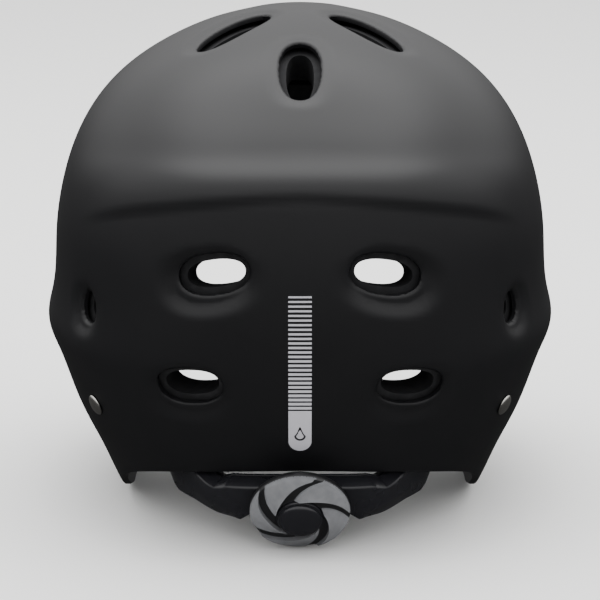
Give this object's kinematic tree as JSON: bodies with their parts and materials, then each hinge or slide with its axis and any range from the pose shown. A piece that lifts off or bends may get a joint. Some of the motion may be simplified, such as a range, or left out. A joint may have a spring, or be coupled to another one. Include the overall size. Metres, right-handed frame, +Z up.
{
  "type": "water sports helmet",
  "caption": "Hard-shell water sports helmet with ear flaps, foam liner, oval vents, dial-adjusted nape cradle and buckled chin strap.",
  "frame": {"origin": "on the ground under the middle of the helmet's box, as it stands on its ear flaps and dial", "axes": "+Z up, +Y to the face opening, +X to the wearer's right"},
  "size_m": [0.2184, 0.2621, 0.21],
  "materials": {
    "shell_plastic": "moulded ABS with a fine satin-matte black coat",
    "liner_foam": "closed-cell foam with a dull skin",
    "pad_cloth": "brushed knit cloth over soft foam",
    "rivet_metal": "satin nickel plate",
    "webbing": "flat woven polyester webbing",
    "nylon": "moulded nylon, satin",
    "dial_rubber": "dark grey overmoulded grip"
  },
  "bodies": {
    "helmet": {"outer_shell": "shell_plastic", "liner_crown": "liner_foam", "liner_rear": "liner_foam", "liner_right": "liner_foam", "liner_front": "liner_foam", "liner_left": "liner_foam", "crown_pad": "pad_cloth", "brow_pad": "pad_cloth", "rear_pad": "pad_cloth", "left_side_pad": "pad_cloth", "right_side_pad": "pad_cloth", "left_ear_pad": "pad_cloth", "right_ear_pad": "pad_cloth", "rear_rivet_left": "rivet_metal", "rear_rivet_right": "rivet_metal", "rear_washer_left": "nylon", "rear_washer_right": "nylon", "front_rivet_left": "rivet_metal", "front_rivet_right": "rivet_metal", "front_washer_left": "nylon", "front_washer_right": "nylon", "rear_web_left": "webbing", "rear_web_right": "webbing", "front_web_left": "webbing", "front_web_right": "webbing", "temple_pivot_left": "nylon", "temple_pivot_right": "nylon"},
    "cradle": {"cradle_housing": "nylon", "cradle_cover": "nylon", "nape_pad": "pad_cloth", "band_left": "nylon", "band_right": "nylon"},
    "dial": {"dial_base": "nylon", "dial_grip": "dial_rubber", "dial_hub_cap": "nylon", "pinion": "nylon"},
    "left_rack_body": {"rack_left": "nylon"},
    "right_rack_body": {"rack_right": "nylon"},
    "chin_strap": {"divider_left": "nylon", "divider_right": "nylon", "chin_web_left": "webbing", "chin_web_right": "webbing", "chin_pad": "pad_cloth", "strap_keeper": "nylon", "buckle_female": "nylon"},
    "buckle_tongue": {"buckle_male": "nylon"}
  },
  "joints": [
    {"name": "cradle_tilt", "type": "hinge", "parent": "helmet", "child": "cradle", "pos_m": [0, 0.034, 0.082], "axis": [1, 0, 0], "range_deg": [0, 12]},
    {"name": "dial_turn", "type": "hinge", "parent": "cradle", "child": "dial", "pos_m": [0, -0.118, 0.0182], "axis": [0, -0.866, -0.5], "range_deg": [0, 280]},
    {"name": "left_rack_slide", "type": "slide", "parent": "cradle", "child": "left_rack_body", "axis": [1, 0, 0], "range_m": [0, 0.0178], "deforming": ["band_left"]},
    {"name": "right_rack_slide", "type": "slide", "parent": "cradle", "child": "right_rack_body", "axis": [1, 0, 0], "range_m": [-0.0178, 0], "deforming": ["band_right"]},
    {"name": "chin_strap_swing", "type": "hinge", "parent": "helmet", "child": "chin_strap", "pos_m": [0, 0.005, 0.062], "axis": [1, 0, 0], "range_deg": [-85, 0], "deforming": ["rear_web_left", "rear_web_right", "front_web_left", "front_web_right"]},
    {"name": "buckle_release", "type": "slide", "parent": "chin_strap", "child": "buckle_tongue", "axis": [-0.9976, 0.0698, 0], "range_m": [0, 0.024], "deforming": ["chin_web_left"]}
  ],
  "couplings": [
    {"joint": "left_rack_slide", "follows": "dial_turn", "m_per_rad": 0.0036},
    {"joint": "right_rack_slide", "follows": "dial_turn", "m_per_rad": -0.0036}
  ]
}
